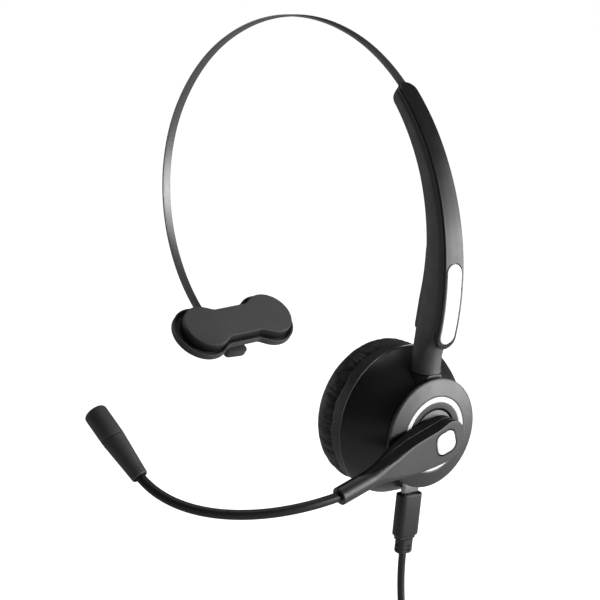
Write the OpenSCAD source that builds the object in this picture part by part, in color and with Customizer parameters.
// Single-ear office headset: sprung steel headband sliding in a two-shell arm,
// swivelling ear cup, rotating microphone boom with a flexible gooseneck, and a
// rocking temple pad.  Millimetres, +Z up, -Y is the wearer's front, +X outward
// through the ear cup.  Origin: centre of the ear cushion's face.

/* [Headband] */
// Width of the spring steel strip
band_w = 4.0; // [3:0.1:5]
// Thickness of the spring steel strip
band_t = 0.9; // [0.6:0.1:1.2]
// Radius of the sliding arc, shared by the strip and the channel in the arm
slide_r = 90; // [88:0.5:92]
// Arc the strip reaches into the arm below the mouth, degrees
band_in_arm = 34; // [26:1:38]

/* [Arm] */
// Width of the arm across the wearer's front-back direction
arm_w = 9.2; // [8.6:0.1:10.5]
// Radius of the arm's outer face
arm_r = 98.6; // [98:0.1:99.4]
// Wall of the outer shell
arm_shell_t = 1.7; // [1.4:0.1:2]
// Length of the oval badge plate
badge_l = 32; // [20:1:34]
// Width of the oval badge plate
badge_w = 7.6; // [5:0.2:7.8]

/* [Ear cup] */
// Largest radius of the ear cup shell, at its rim
cup_r = 30.4; // [29.5:0.1:31]
// Wall of the ear cup shell
cup_wall = 1.7; // [1.4:0.1:2]
// Radius of the waist below the hub ring
waist_r = 19.6; // [19:0.1:20]
// Outward tilt of the cup axis below horizontal, degrees
cup_tilt = 8.3; // [6:0.1:11]
// Radius of the flared hub ring
hub_r = 22.3; // [21.5:0.1:22.5]
// Outer radius of the ear cushion
cushion_r = 30; // [28:0.5:30.5]
// Thickness of the ear cushion
cushion_t = 13; // [9:0.5:14]

/* [Boom] */
// Angle of the boom below horizontal at rest, degrees
boom_drop = 17.9; // [0:0.1:30]
// Length from the hub axis to the end of the boom tube
boom_l = 52.5; // [50:0.5:56]
// Outer radius of the boom tube
tube_r = 3.6; // [3.3:0.1:3.9]
// Radius of the gooseneck
goose_r = 1.9; // [1.6:0.1:2.1]
// Radius of the microphone cap
mic_r = 4.6; // [4:0.1:5]
// Length of the microphone from small end to cap face
mic_l = 32; // [28:0.5:36]

/* [Temple pad] */
// Radius of the pad's two lobes
pad_lobe_r = 11.5; // [9:0.1:12]
// Distance of each lobe's centre from the middle
pad_lobe_c = 17.7; // [14:0.1:18]
// Thickness of the soft pad
pad_t = 5.3; // [4:0.1:6]

/* [Charging cable] */
// Width of the plug's overmould
plug_w = 11; // [10:0.1:12]
// Thickness of the plug's overmould
plug_t = 6; // [5.5:0.1:6.4]
// Radius of the cable
cable_r = 1.5; // [1.2:0.1:1.7]
// Length of cable modelled from the overmould's end
cable_l = 44; // [30:1:90]

/* [Hidden] */
$fn = 64;

// ---- reference geometry, in the headband's frame ----
slide_c = [3.79, -19.54];            // [x, z] centre of the sliding arc
mouth_a = 45;                        // polar angle of the arm's mouth
arm_c = [-1.35, -23.75];             // [x, z] centre of the arm's outer curve
hub_c = [86.45, 0, -89.78];          // hub ring centre on the cup axis
pad_c = [-41.4, 2, -59.4];           // centre of the temple pad's face
pad_tilt = 43;                       // slope of the temple pad
cup_out = [cos(cup_tilt), 0, -sin(cup_tilt)];  // outward along the cup axis
cup_up = [sin(cup_tilt), 0, cos(cup_tilt)];    // up the neck

// heights along the cup axis, from the hub ring centre, positive outward
cush_face = -39;
rim_h = -21.4;
waist_h = -5.1;
neck_h = -9.0;                       // axis of the neck
plug_h = -10.2;                      // axis of the plug and its socket
seat_h = -1.6;                       // floor of the hub ring's recess
plug_x = 27.6;                       // overmould's top, below the cup axis
origin = hub_c + cush_face * cup_out;

// ---- frames ----
module up(h) translate([0, 0, h]) children();
module on_head() translate(-origin) children();
// cup frame: +z outward, +x down
module cup_axes() translate(hub_c) rotate([0, 90 + cup_tilt, 0]) children();
module on_cup() on_head() cup_axes() children();
// neck frame, set inside the cup frame: +z up the neck, +x outward
module neck_axes() up(neck_h) rotate([0, -90, 0]) children();
// boom frame: +x along the boom, +z outward
module on_boom() on_cup() rotate([0, 0, -90 + boom_drop]) children();
// pad frame: +z towards the head
module on_pad() on_head() translate(pad_c) rotate([0, pad_tilt, 0]) children();
// brings y = 0 of the pad frame to the strip's middle
module strip_middle() translate([0, -pad_c[1], 0]) children();
// plug frame: +z down the cable, +x inward
module on_plug() on_cup() translate([plug_x, 0, plug_h]) rotate([0, 90, 0]) children();

// ---- shared shapes ----
// sweeps a section about the [x, z] centre, from polar angle a0 to a1
module arc_xz(centre, a0, a1)
  translate([centre[0], 0, centre[1]])
    rotate([90, 0, 0])
      rotate([0, 0, a0])
        rotate_extrude(angle = a1 - a0, $fn = 180) children();
// curved bar of [radial, front-back] section
module arc_bar(centre, radius, a0, a1, section)
  arc_xz(centre, a0, a1) translate([radius, 0]) square(section, center = true);
module ring(r1, r2, h) difference() {
  cylinder(r = r2, h = h);
  up(-1) cylinder(r = r1, h = h + 2);
}
// retaining clip: a ring with a gap on its -x side
module open_ring(r1, r2, h, reach, gap) difference() {
  ring(r1, r2, h);
  translate([-reach, -gap / 2, -1]) cube([reach, gap, 3]);
}
module disc(centre, r, facets) translate(centre) circle(r = r, $fn = facets);
module rounded_rect(w, h, r) union() {
  square([w - 2 * r, h], center = true);
  square([w, h - 2 * r], center = true);
  for (x = [-1, 1], y = [-1, 1]) disc([x * (w / 2 - r), y * (h / 2 - r)], r, 32);
}
module rounded_block(size, r) linear_extrude(size[2]) rounded_rect(size[0], size[1], r);
// skin over a list of rings, each a closed loop of the same number of points
module loft(rings) {
  n = len(rings[0]);
  last = len(rings) - 1;
  polyhedron(
    points = [for (r = rings) for (p = r) p],
    faces = concat(
      [[for (i = [0 : n - 1]) n - 1 - i]],
      [for (j = [0 : last - 1]) for (i = [0 : n - 1])
        let (here = j * n + i, beside = j * n + (i + 1) % n)
        for (face = [[here, beside, here + n], [beside, beside + n, here + n]]) face],
      [[for (i = [0 : n - 1]) last * n + i]]),
    convexity = 6);
}
function unit(v) = v / norm(v);

// ---- headband ----
// tangent arcs [radius, swept angle], from the arm over the crown to the temple pad
band_arcs = [[slide_r, 22.1], [104, 48.9], [85, 28.7], [68, 52.8], [72, 32.2], [50, 16]];
strip_end_a = mouth_a - band_in_arm;  // polar angle of the strip's hidden end
strip_end_steps = 14;
rivet_at = [-9.5, 0];                 // in the pad frame, from the strip's middle

// polar angle where an arc starts, and its centre, worked out one after the other
function arc_start(i) = i == 0 ? mouth_a : arc_start(i - 1) + band_arcs[i - 1][1];
function arc_centre(i) = i == 0 ? slide_c
  : arc_centre(i - 1) + (band_arcs[i - 1][0] - band_arcs[i][0])
    * [cos(arc_start(i)), sin(arc_start(i))];
function band_pt(i, a, d) = arc_centre(i) + (band_arcs[i][0] + d) * [cos(a), sin(a)];
// points d outside the strip's middle line, from the hidden end to the temple pad
function band_line(d) = concat(
  [for (k = [0 : strip_end_steps - 1])
    band_pt(0, mouth_a - band_in_arm * (1 - k / strip_end_steps), d)],
  [for (i = [0 : len(band_arcs) - 1])
    let (sweep = band_arcs[i][1],
      n = ceil(sweep / 2.5),
      last = i == len(band_arcs) - 1 ? n : n - 1)
    for (k = [0 : last]) band_pt(i, arc_start(i) + sweep * k / n, d)]);

module headband_strip() color("#1c1c1e") difference() {
  outer = band_line(band_t / 2);
  inner = band_line(-band_t / 2);
  on_head() rotate([90, 0, 0]) linear_extrude(band_w, center = true)
    polygon(concat(outer, [for (k = [1 : len(inner)]) inner[len(inner) - k]]));
  rivet_hole(12);
}
module rivet_hole(h)
  on_pad() strip_middle() translate(rivet_at) up(-17.65) cylinder(r = 0.78, h = h, $fn = 32);
// Stop wrapped round the strip's hidden end
module band_end_stop() color("silver") on_head() difference() {
  arc_bar(slide_c, slide_r, strip_end_a - 1.2, strip_end_a + 2.6, [2.3, 5.4]);
  arc_bar(slide_c, slide_r, strip_end_a - 0.03, strip_end_a + 5, [band_t + 0.04, band_w + 0.04]);
}

// ---- arm ----
shell_in_r = arm_r - arm_shell_t;    // inner face of the outer shell
arm_screw_z = [-42, -50];
bulge = 3.2;                         // rounding of the inner shell's inner face
// heights up the neck
clip_v = 16.4;                       // groove of the retaining clip
collar_v = 17.4;                     // top edge of the cup's collar is above this
collar_l = 5.7;
pocket_v = collar_v + collar_l;      // floor the foot of the neck sits on
neck_r = 2.4;
neck_foot_r = 5.2;

// upright oval seen from outside, extruded outward
module oval_bar(w, span, z) rotate([90, 0, 90]) linear_extrude(140) union() {
  for (s = [-1, 1]) translate([0, z + s * span / 2]) circle(r = w / 2);
  translate([0, z]) square([w, span], center = true);
}
// curved oval whose inner face is depth below the arm's outer face
module badge_layer(depth, thick, grow) intersection() {
  arc_xz(arm_c, -22, 3) translate([arm_r - depth, -5]) square([thick, 10]);
  oval_bar(badge_w + 2 * grow, badge_l - badge_w, -38);
}
// on the outer shell's inner face at each screw, +z inward
module at_arm_screws() for (z = arm_screw_z)
  translate([arm_c[0] + sqrt(pow(shell_in_r, 2) - pow(z - arm_c[1], 2)) - 0.1, 0, z])
    rotate([0, -90 - asin((z - arm_c[1]) / arm_r), 0]) children();
module arm_screw_holes() at_arm_screws() cylinder(r = 0.75, h = 12, $fn = 24);
// curved channel for the strip and its stop, open at the mouth
module channel() union() {
  arc_bar(slide_c, slide_r, -11.5, 24, [3, 6]);
  arc_bar(slide_c, slide_r, 20, 60, [band_t + 0.6, band_w + 0.6]);
}
module arm_outer_shell() color("#26262a") on_head() difference() {
  half = arm_w / 2;
  bevel_r = arm_r - 0.8;
  intersection() {
    arc_xz(arm_c, -22, 50) polygon([
      [shell_in_r, -half], [bevel_r, -half], [arm_r, -half + 0.9],
      [arm_r, half - 0.9], [bevel_r, half], [shell_in_r, half]]);
    oval_bar(arm_w, 94.4, -4);
  }
  channel();
  arm_screw_holes();
  badge_layer(0.55, 2, 0.12);
}
module arm_badge() color("#f2f2f4") on_head() badge_layer(0.5, 0.62, 0);

// radius of the arm's inner face at polar angle a, and a point d inside it
function arm_in(a) = a > 0 ? 84.2 + 0.143 * a : max(82.7, 84.2 + 0.12 * a);
function arm_pt(a, d) = arm_c + (arm_in(a) - d) * [cos(a), sin(a)];
// D-shaped section at polar angle a: six points on the flat parting face, the
// rest round the inner side
function arm_section(a) = let (w = arm_w / 2 - 0.15)
  [for (k = [0 : 23])
    let (t = 90 - 180 * (k - 6) / 17,
      flat = k < 6,
      r = flat ? shell_in_r - 0.05 : arm_in(a) + bulge - bulge * cos(t),
      y = flat ? w * (k / 2.5 - 1) : w * sin(t))
    [arm_c[0] + r * cos(a), y, arm_c[1] + r * sin(a)]];
// round section of the neck's foot at height v up the neck, matched to arm_section
function neck_section(v) =
  [for (k = [0 : 23])
    let (t = k < 6 ? -60 + 24 * k : 60 + 240 * (k - 5) / 19)
    hub_c + (neck_h + neck_foot_r * cos(t)) * cup_out + v * cup_up
      + [0, neck_foot_r * sin(t), 0]];
module arm_inner_shell() color("#2a2a2d") on_head() difference() {
  union() {
    loft(concat(
      [for (a = [45.4, 42, 38, 33, 28, 23, 18, 13, 8, 3, -2, -7, -12, -17]) arm_section(a)],
      [for (v = [33, 29, 23.25]) neck_section(v)]));
    cup_axes() neck_axes() up(15.6) cylinder(r = neck_r, h = 9);
  }
  channel();
  // wire way from the cup up into the channel
  cup_axes() neck_axes() up(10) cylinder(r = 1.4, h = 46, $fn = 32);
  arc_bar(slide_c, 86.5, -10.5, -7, [8, 2.8]);
  // groove for the retaining clip
  cup_axes() neck_axes() up(clip_v) intersection() {
    cylinder(r = 3.6, h = 0.9);
    ring(1.9, 4, 0.9);
  }
  arm_screw_holes();
}
// Thin strip that closes the inner face of the arm
module arm_inner_cover() color("#202022") on_head()
  translate([0, 2.3, 0]) rotate([90, 0, 0]) linear_extrude(4.6)
    // [polar angle, distance inside the arm's inner face]
    polygon([for (p = [[6, 0.04], [-7, 0.04], [-17, 0.04], [-17, 0.85], [-7, 0.75], [6, 0.3]])
      arm_pt(p[0], p[1])]);
module arm_screws() color("silver") on_head()
  at_arm_screws() up(0.3) cylinder(r = 0.72, h = 6.5, $fn = 24);
// Curved leaf spring just outside the strip, inside the arm
module detent_spring() color("silver") on_head()
  arc_bar(slide_c, slide_r + 1.33, -10, 9, [0.24, 4.4]);
module neck_clip() color("silver") on_cup() neck_axes()
  up(clip_v + 0.1) open_ring(1.95, 3.3, 0.7, reach = 6, gap = 2.4);

// ---- ear cup ----
cup_screw_a = [30, 120, 210, 300];
cup_screw_r = 24.6;                  // distance of the screws from the cup axis
collar_bore_r = 4.06;                // centre bore for the boom's spigot
collar_out_r = 6.4;                  // wall round that bore
rocker_a = 75;                       // on the rear edge, a little below the middle
rocker_half = 12.6;                  // half the angle the rocker spans

module at_cup_screws(h)
  for (a = cup_screw_a) rotate([0, 0, a]) translate([cup_screw_r, 0, h]) children();
// radius and height of the dome, u running from 0 at the rim to 1 at the waist
function dome_r(u) = cup_r - (cup_r - waist_r) * pow(u, 1.35);
function dome_h(u) = rim_h + (waist_h - rim_h) * u;
module cup_profile() polygon(concat(
  [[waist_r, waist_h], [collar_bore_r, waist_h], [collar_bore_r, waist_h - 4.2],
    [collar_out_r, waist_h - 4.2], [collar_out_r, waist_h - cup_wall],
    [dome_r(0.9) - cup_wall, waist_h - cup_wall]],
  [for (k = [0 : 12]) let (u = 0.86 - 0.80 * k / 12) [dome_r(u) - cup_wall, dome_h(u) - 0.5]],
  [[cup_r - cup_wall, rim_h + 0.4], [cup_r - cup_wall, rim_h], [cup_r, rim_h]],
  [for (k = [0 : 15]) let (u = k / 16) [dome_r(u), dome_h(u) + 0.35 * sin(180 * u)]]));
module rocker_arc(half)
  rotate([0, 0, rocker_a - half]) rotate_extrude(angle = 2 * half, $fn = 96) children();

module cup_shell() color("#1e1e21") on_cup() difference() {
  union() {
    rotate_extrude($fn = 128) cup_profile();
    // socket wall round the foot of the neck, where it sinks into the dome
    intersection() {
      neck_axes() up(collar_v) cylinder(r = 6.7, h = 12);
      rotate_extrude($fn = 128) intersection() {
        hull() cup_profile();
        translate([17.6, -20.2]) square([20, 14.4]);
      }
    }
    // collar the neck seats on and turns in
    difference() {
      neck_axes() up(collar_v) cylinder(r = 6.0, h = collar_l);
      up(waist_h - 0.05) cylinder(r = 22.7, h = 8);
      rotate_extrude($fn = 96) translate([0, -30]) square([collar_out_r, 40]);
    }
    at_cup_screws(rim_h + 0.02) cylinder(r = 2.1, h = 6.4, $fn = 32);
  }
  // pocket the foot of the neck turns in
  neck_axes() up(pocket_v) cylinder(r = neck_foot_r + 0.16, h = 12);
  // neck bore, with room for the clip below the collar
  neck_axes() up(15) {
    cylinder(r = neck_r + 0.06, h = 12);
    cylinder(r = 3.5, h = collar_v - 15);
  }
  // charging socket opening
  translate([18, 0, plug_h]) rotate([0, 90, 0]) rounded_block([3.5, 9.6, 12], 1.7);
  // rocker window
  rocker_arc(rocker_half + 1) polygon([[20, -17.0], [32, -17.0], [32, -12.4], [20, -12.4]]);
  at_cup_screws(rim_h - 1) cylinder(r = 0.8, h = 6, $fn = 24);
}
module hub_ring() color("#3a3a3e") on_cup() rotate_extrude($fn = 128)
  // [radius, height along the cup axis]
  polygon([
    [10.45, waist_h + 0.03], [waist_r - 0.2, waist_h + 0.03], [waist_r + 0.9, -4.2],
    [hub_r - 0.5, -2.9], [hub_r, -2.1], [hub_r - 0.25, -1.65], [hub_r - 0.9, -1.45],
    [15.6, -0.15], [15.32, -0.2], [15.32, seat_h], [10.45, seat_h]]);
// ring in the hub ring's recess, from its [radius, height] outline
module recess_ring(outline) on_cup() up(seat_h + 0.03) rotate_extrude($fn = 128) polygon(outline);
module trim_ring() color("#e8e8ea") recess_ring([
  [13.05, 0], [15.2, 0], [15.2, 1.45], [15.05, 1.57], [13.2, 1.4], [13.05, 1.3]]);
module hub_inner_ring() color("#3a3a3e") recess_ring([
  [10.6, 0], [12.95, 0], [12.95, 1.25], [12.8, 1.35], [10.75, 1.25], [10.6, 1.1]]);
module front_frame() color("#202024") on_cup() difference() {
  union() {
    up(rim_h - 3.0) ring(26.6, 29.3, 2.95);
    up(rim_h - 3.0) cylinder(r = 27, h = 1.2);
    up(rim_h - 1.85) ring(14.3, 15.6, 1.8);
    up(rim_h - 4.2) ring(20.6, 21.6, 1.25);
  }
  // sound openings
  for (k = [0 : 5]) rotate([0, 0, 60 * k])
    translate([7, 0, rim_h - 6]) cylinder(r = 2.2, h = 8, $fn = 32);
  up(rim_h - 6) cylinder(r = 2.6, h = 8, $fn = 32);
  at_cup_screws(rim_h - 6) cylinder(r = 1.1, h = 8, $fn = 24);
}
module cup_screws() color("silver") on_cup() at_cup_screws(rim_h - 3.95) {
  cylinder(r = 1.9, h = 0.9, $fn = 32);
  cylinder(r = 0.78, h = 8.6, $fn = 24);
}
module ear_cushion() color("#151515") on_cup() rotate_extrude($fn = 96) union() {
  outer_roll = 6.4;
  inner_roll = 4.6;
  inner_roll_x = 19.4;
  back = cushion_t - 0.9;            // flat back, measured from the face
  web_x = 15.4;
  disc([cushion_r - outer_roll, cush_face + outer_roll], outer_roll, 48);
  disc([inner_roll_x, cush_face + inner_roll], inner_roll, 48);
  translate([inner_roll_x, cush_face]) square([cushion_r - outer_roll - inner_roll_x, back]);
  translate([web_x, cush_face + inner_roll]) square([cushion_r - web_x - 1.0, back - inner_roll]);
}
module grille_foam() color("#101012") on_cup() up(rim_h - 4.2) cylinder(r = 15, h = 1.15);
module speaker_frame() color("#2c2c30") on_cup() difference() {
  up(rim_h - 1.75) union() {
    cylinder(r = 14.1, h = 2.6);
    cylinder(r = 9.6, h = 4.6);
  }
  up(rim_h - 2) cylinder(r = 12.6, h = 1.5);
  up(rim_h - 2) cylinder(r = 8.1, h = 8);
}
module speaker_diaphragm() color("#c9c3a8") on_cup() up(rim_h - 1.7) rotate_extrude()
  // [radius, height]: inner face outward, then back along the outer face
  polygon([
    [0, 0.9], [3.4, 0.75], [5.6, 0.25], [9, 0.75], [12.4, 0.2],
    [12.4, 0.32], [9, 0.9], [5.6, 0.4], [3.4, 0.9], [0, 1.05]]);
module speaker_magnet() color("#8f9094") on_cup() up(rim_h + 0.7) cylinder(r = 7.9, h = 2.5);
// Round board with a tab reaching down to the charging socket
module main_board() color("#1d5a34") on_cup() difference() {
  board_t = 1.2;
  tab_w = 10.4;
  up(-13.1) union() {
    cylinder(r = 15.2, h = board_t);
    translate([0, -tab_w / 2, 0]) cube([21.8, tab_w, board_t]);
  }
  up(-14) cylinder(r = 2, h = 4, $fn = 24);
}
module battery() color("#8b8f96") on_cup() up(-17.9) rounded_block([18, 22, 3.6], 1.2);
// Socket opening downward, with a tongue in the middle
module usb_socket() color("silver") on_cup()
  translate([23.5, 0, plug_h]) rotate([0, -90, 0]) difference() {
    rounded_block([3.3, 9.1, 6.8], 1.6);
    difference() {
      up(-1) rounded_block([2.72, 8.5, 6.9], 1.34);
      up(0.8) linear_extrude(8) square([0.7, 6.4], center = true);
    }
  }
// Curved rocker on the rear edge of the cup; outline is [radius, height]
module volume_rocker() color("#2e2e32") on_cup() rocker_arc(rocker_half) polygon([
  [24.4, -16.75], [28.9, -16.75], [29.2, -16.2], [27.3, -12.9], [26.6, -12.65], [23.4, -12.65]]);
module volume_switch() color("#b9b9bc") on_cup()
  rotate([0, 0, rocker_a]) translate([18.4, -3, -16.2]) cube([4.2, 6, 3]);

// ---- boom ----
head_c = [-1.3, 0.95];               // rounded end of the boom over the hub
body_c = [16, 0];                    // middle of the boom, where it starts to taper
tube_x = 33;                         // start of the round tube
tube_h = 4;                          // height of the tube's axis
cover_h = 3.6;                       // underside of the cover
spigot_r = 4.0;
boom_screw_x = [-5.5, 26];
button_c = [0.4, 0.9];
button_size = [9.6, 9.0];
button_corner = 2.4;

module boom_plan(inset) union() {
  hull() {
    disc(head_c, 8.4 - inset, 48);
    disc(body_c, 7.1 - inset, 48);
  }
  hull() {
    disc(body_c, 7.1 - inset, 48);
    disc([34, 0], tube_r - inset, 32);
  }
  translate([tube_x, -tube_r + inset]) square([4, 2 * (tube_r - inset)]);
}
module hollow_plan() union() {
  hull() {
    disc(head_c, 3.0, 32);
    disc(body_c, 3.0, 32);
  }
  hull() {
    disc(body_c, 3.0, 32);
    disc([22.5, 0], 2, 32);
  }
}
// on the tube's axis at x, +z along the boom
module tube_axis(x) translate([x, 0, tube_h]) rotate([0, 90, 0]) children();
// block the button's shape, grown all round
module button_block(grow, h)
  rounded_block([button_size[0] + 2 * grow, button_size[1] + 2 * grow, h], button_corner + grow);

module boom_base() color("#2b2b2f") on_boom() difference() {
  union() {
    up(0.5) linear_extrude(3.05) boom_plan(0);
    up(-1.5) cylinder(r = 10.0, h = 2.2);
    up(-11.2) cylinder(r = spigot_r, h = 10);
    tube_axis(tube_x) cylinder(r = tube_r, h = boom_l - tube_x);
  }
  // wire way down the spigot, and the hollow under the cover
  up(-12) cylinder(r = 1.6, h = 15, $fn = 32);
  up(1.7) linear_extrude(5) hollow_plan();
  // hollow tube that holds the gooseneck
  tube_axis(30) cylinder(r = goose_r + 0.05, h = 30, $fn = 48);
  tube_axis(boom_l - 4) cylinder(r = tube_r - 0.9, h = 6, $fn = 48);
  // groove for the hub clip
  up(-10.55) ring(3.4, 5, 0.65);
  // clears the bore's upper edge under the cover's end
  translate([30, -5, 3.55]) cube([3.02, 10, 6]);
  for (x = boom_screw_x) translate([x, 0, 0]) cylinder(r = 0.7, h = 4, $fn = 24);
}
module boom_cover() color("#3b3b3f") on_boom() difference() {
  union() {
    up(cover_h) linear_extrude(2.6) boom_plan(0);
    up(cover_h + 2.59) linear_extrude(0.85) boom_plan(0.85);
  }
  up(3) linear_extrude(2.6) boom_plan(1.3);
  // well for the call button
  translate(button_c) up(3) button_block(0.2, 8);
  translate([tube_x - 0.02, -10, 0]) cube([10, 20, 12]);
}
module boom_screws() color("silver") on_boom()
  for (x = boom_screw_x) translate([x, 0, 0.55]) cylinder(r = 0.68, h = 2.9, $fn = 24);
module hub_washer() color("silver") on_boom() up(-9.85) ring(spigot_r + 0.05, 6.2, 0.5);
module hub_clip() color("silver") on_boom()
  up(-10.45) open_ring(3.42, 5.6, 0.5, reach = 8, gap = 3.8);
module call_button() color("#eeeef0") on_boom() translate(button_c) up(4.75) union() {
  button_block(0, 2.3);
  up(2.29) button_block(-0.4, 0.26);
}
module button_switch() color("#5b5b60") on_boom() translate(button_c) up(1.75) union() {
  translate([-2.2, -2.0, 0]) cube([4.4, 4.0, 2.0]);
  up(1.9) cylinder(r = 1.2, h = 0.6, $fn = 32);
}

// ---- gooseneck, in three lengths that meet at two flex points ----
// control points of a cubic curve from the boom tube to the microphone, in the
// headband's frame
goose_pts = [
  [88.08, -49.98, -106.30],
  [86.4, -80.6, -111.2],
  [62.3, -104.1, -113.9],
  [44.4, -109.4, -98.0]];
mic_foot = goose_pts[3];
mic_dir = unit([-0.701, -0.170, 0.693]);
flex = [0.30, 0.70];                 // curve parameters of the flex points
flex_gap = 0.034;                    // step in parameter past a flex point
loop_ref = [0.516, -0.321, 0.793];   // fixes where each loop's first point lies

function goose_at(t) = pow(1 - t, 3) * goose_pts[0] + 3 * t * pow(1 - t, 2) * goose_pts[1]
  + 3 * t * t * (1 - t) * goose_pts[2] + t * t * t * goose_pts[3];
function goose_dir(t) = unit(goose_at(t + 0.01) - goose_at(t - 0.01));
// loop of radius r about p, square to the unit vector dir
function loop_pts(p, dir, r = goose_r, n = 20) =
  let (side = unit(cross(dir, loop_ref)), other = cross(side, dir) * -1)
  [for (i = [0 : n - 1]) p + r * (cos(360 * i / n) * side - sin(360 * i / n) * other * -1 * -1)];
// loops along the curve from t0 to t1, in n steps
function goose_run(t0, t1, n) =
  [for (k = [0 : n]) let (t = t0 + (t1 - t0) * k / n) loop_pts(goose_at(t), goose_dir(t))];
// rounded end past the point at t
function goose_end(t) = let (dir = goose_dir(t))
  [for (k = [1 : 4])
    loop_pts(goose_at(t) + dir * goose_r * sin(20 * k), dir, goose_r * cos(20 * k))];

module gooseneck_root() color("#141416") on_head() loft(concat(
  [loop_pts(goose_at(0) - 3.6 * goose_dir(0), goose_dir(0))],
  goose_run(0, flex[0], 5),
  goose_end(flex[0])));
module gooseneck_middle() color("#141416") on_head() loft(concat(
  goose_run(flex[0] + flex_gap, flex[1], 6),
  goose_end(flex[1])));
module gooseneck_tip() color("#141416") on_head() loft(concat(
  goose_run(flex[1] + flex_gap, 0.985, 5),
  [for (reach = [1.2, 5]) loop_pts(mic_foot + reach * mic_dir, mic_dir)]));

// ---- microphone ----
mic_seam = 18.3;                     // small end to the seam with the cap
// microphone frame: +z from the small end to the cap
module on_mic() on_head() translate(mic_foot)
  rotate([0, acos(mic_dir[2]), atan2(mic_dir[1], mic_dir[0])]) children();
module mic_housing() color("#26262a") on_mic() difference() {
  seam = mic_seam - 0.05;
  rotate_extrude($fn = 64) polygon([
    [0, 0.01], [2.7, 0.01], [3.2, 0.5], [mic_r - 0.25, 15.6],
    [mic_r, mic_seam - 0.5], [mic_r, seam], [0, seam]]);
  up(-1) cylinder(r = 2.5, h = 3.6, $fn = 48);
  up(-1) cylinder(r = goose_r + 0.02, h = 7, $fn = 48);
  up(8) cylinder(r = 3.2, h = 12, $fn = 48);
}
module mic_cap() color("#2e2e32") on_mic() difference() {
  rotate_extrude($fn = 64) polygon([
    [0, mic_seam], [mic_r, mic_seam], [mic_r, mic_l - 1.4],
    [mic_r - 0.4, mic_l - 0.5], [mic_r - 1.3, mic_l], [0, mic_l]]);
  up(mic_seam - 1) cylinder(r = 3.4, h = 11, $fn = 48);
  // three holes in the cap's face
  for (k = [0 : 2]) rotate([0, 0, 120 * k])
    translate([1.5, 0, mic_l - 6]) cylinder(r = 0.5, h = 8, $fn = 24);
}
module mic_capsule() color("silver") on_mic() up(mic_seam + 2.2) cylinder(r = 3.0, h = 5, $fn = 48);

// ---- temple pad ----
pin_h = -12.4;                       // height of the hinge pin's axis
pin_r = 1.0;
bracket_w = 10.8;
ear_y = 6.6;                         // plate's hinge ears, either side of the bracket

// rod on the hinge axis, reaching l towards -y from y
module hinge_rod(y, r, l, facets = 48)
  translate([0, y, pin_h]) rotate([90, 0, 0]) cylinder(r = r, h = l, $fn = facets);
// two-lobed outline, lobes lobe_c either side of a waist of the given half width
module peanut(lobe_r, lobe_c, waist) union() {
  hollow_r = 9;
  for (s = [-1, 1]) translate([0, s * lobe_c]) circle(r = lobe_r);
  square([2 * waist, 2 * lobe_c], center = true);
  difference() {
    square([2 * lobe_r * 0.93, 2 * (lobe_c - lobe_r * 0.36)], center = true);
    for (s = [-1, 1]) translate([s * (waist + hollow_r), 0]) circle(r = hollow_r);
  }
}
module pad_yaw() translate([0, 1, 0]) rotate([0, 0, 4.6]) children();

module band_bracket() color("#2a2a2d") difference() {
  bracket_block();
  rivet_hole(4.6);
}
module bracket_block() on_pad() strip_middle() difference() {
  union() {
    translate([-12, -bracket_w / 2, -17.6]) cube([15.6, bracket_w, 5.8]);
    translate([3.4, -3.4, -14.6]) cube([7.0, bracket_w, 4.0]);
    hinge_rod(bracket_w / 2, 2.2, bracket_w, 64);
  }
  hinge_rod(20, pin_r + 0.04, 40);
  // slot for the strip: [arc, degrees added before its start, and after its end]
  for (slot = [[5, 1, 0.1], [4, 0, 0]]) {
    i = slot[0];
    a0 = arc_start(i);
    rotate([0, -pad_tilt, 0]) translate([-pad_c[0], 0, -pad_c[2]])
      arc_bar(arc_centre(i), band_arcs[i][0], a0 - slot[1], a0 + band_arcs[i][1] + slot[2],
        [band_t + 0.06, band_w + 0.06]);
  }
}
module band_rivet() color("silver") on_pad() strip_middle() translate(rivet_at) up(-18.05) union() {
  cylinder(r = 1.5, h = 0.42, $fn = 32);
  cylinder(r = 0.74, h = 3.4, $fn = 32);
}
module temple_pin() color("silver") on_pad() strip_middle() hinge_rod(7.3, pin_r, 14.6);
// Tray with a raised rim, and two ears for the hinge pin
module temple_plate() color("#26262a") on_pad() difference() {
  union() {
    pad_yaw() {
      up(-7.7) linear_extrude(1.6) peanut(13.4, 18.2, 9.4);
      up(-6.11) linear_extrude(1.5) difference() {
        peanut(13.4, 18.2, 9.4);
        peanut(12.05, 18.0, 8.2);
      }
    }
    strip_middle() for (s = [-1, 1])
      translate([-2.6, s * ear_y - 0.9, -14.6]) cube([5.2, 1.8, 7.2]);
  }
  strip_middle() for (s = [-1, 1]) hinge_rod(s * ear_y + 2, pin_r, 4);
}
module temple_pad() color("#2b2b2d") on_pad() pad_yaw() up(-6.0) union() {
  linear_extrude(pad_t - 0.8) peanut(pad_lobe_r, pad_lobe_c, 7.9);
  up(pad_t - 0.9) linear_extrude(0.9) peanut(pad_lobe_r - 0.4, pad_lobe_c, 7.5);
}

// ---- charging cable ----
body_l = 18.0;                       // overmould without its stepped end
step_l = 1.0;
cable_top = 6;                       // straight length before the bend
cable_bend = 13;
cable_bend_r = 90;

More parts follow.
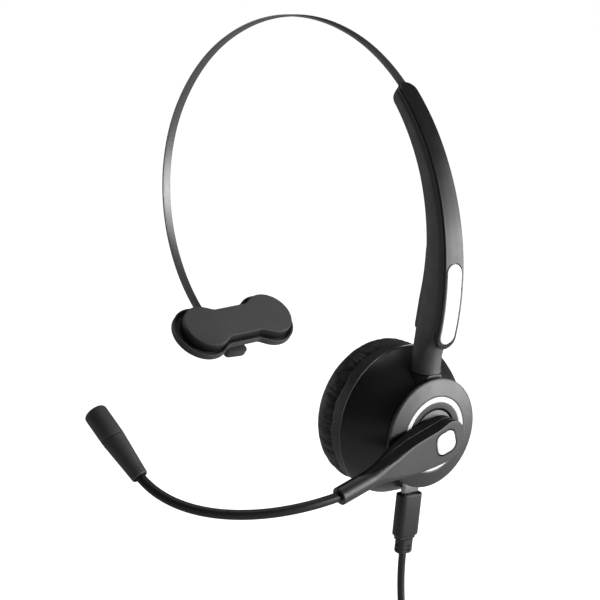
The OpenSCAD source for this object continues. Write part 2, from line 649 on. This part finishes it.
module usb_plug_shell() color("#dcdcde") on_plug() up(-6.6) difference() {
  rounded_block([2.56, 8.34, 6.59], 1.27);
  up(-1) rounded_block([1.9, 7.7, 6.6], 0.94);
}
module usb_plug_body() color("#2a2a2c") on_plug() union() {
  rounded_block([plug_t, plug_w, body_l], 2.4);
  up(body_l - 0.01) rounded_block([plug_t - 1.6, plug_w - 1.8, step_l], 1.9);
}
// Sleeve with two notches in each narrow side
module strain_relief() color("#202022") on_plug() up(body_l + step_l) difference() {
  rounded_block([5.2, 7.2, 6.2], 2.2);
  up(-1) cylinder(r = cable_r + 0.01, h = 9, $fn = 32);
  for (s = [-1, 1], z = [1.6, 3.9]) translate([-4, s * 3.5 - 0.5, z]) cube([8, 1.0, 0.8]);
}
// Straight through the strain relief, then bending outward and straight again
module charging_cable() color("#1a1a1c") on_plug() up(body_l + step_l + 0.02) union() {
  cylinder(r = cable_r, h = cable_top);
  translate([-cable_bend_r, 0, cable_top]) rotate([90, 0, 0]) {
    rotate_extrude(angle = cable_bend, $fn = 180)
      translate([cable_bend_r, 0]) circle(r = cable_r);
    rotate([0, 0, cable_bend]) translate([cable_bend_r, 0, 0]) rotate([-90, 0, 0])
      cylinder(r = cable_r, h = cable_l - cable_top - cable_bend_r * sin(cable_bend));
  }
}

headband_strip();
band_end_stop();
arm_outer_shell();
arm_inner_shell();
arm_inner_cover();
arm_badge();
arm_screws();
detent_spring();
neck_clip();
cup_shell();
hub_ring();
trim_ring();
hub_inner_ring();
front_frame();
cup_screws();
ear_cushion();
grille_foam();
speaker_frame();
speaker_magnet();
speaker_diaphragm();
main_board();
battery();
usb_socket();
volume_rocker();
volume_switch();
boom_base();
boom_cover();
boom_screws();
hub_washer();
hub_clip();
call_button();
button_switch();
gooseneck_root();
gooseneck_middle();
gooseneck_tip();
mic_housing();
mic_cap();
mic_capsule();
band_bracket();
band_rivet();
temple_pin();
temple_plate();
temple_pad();
usb_plug_shell();
usb_plug_body();
strain_relief();
charging_cable();
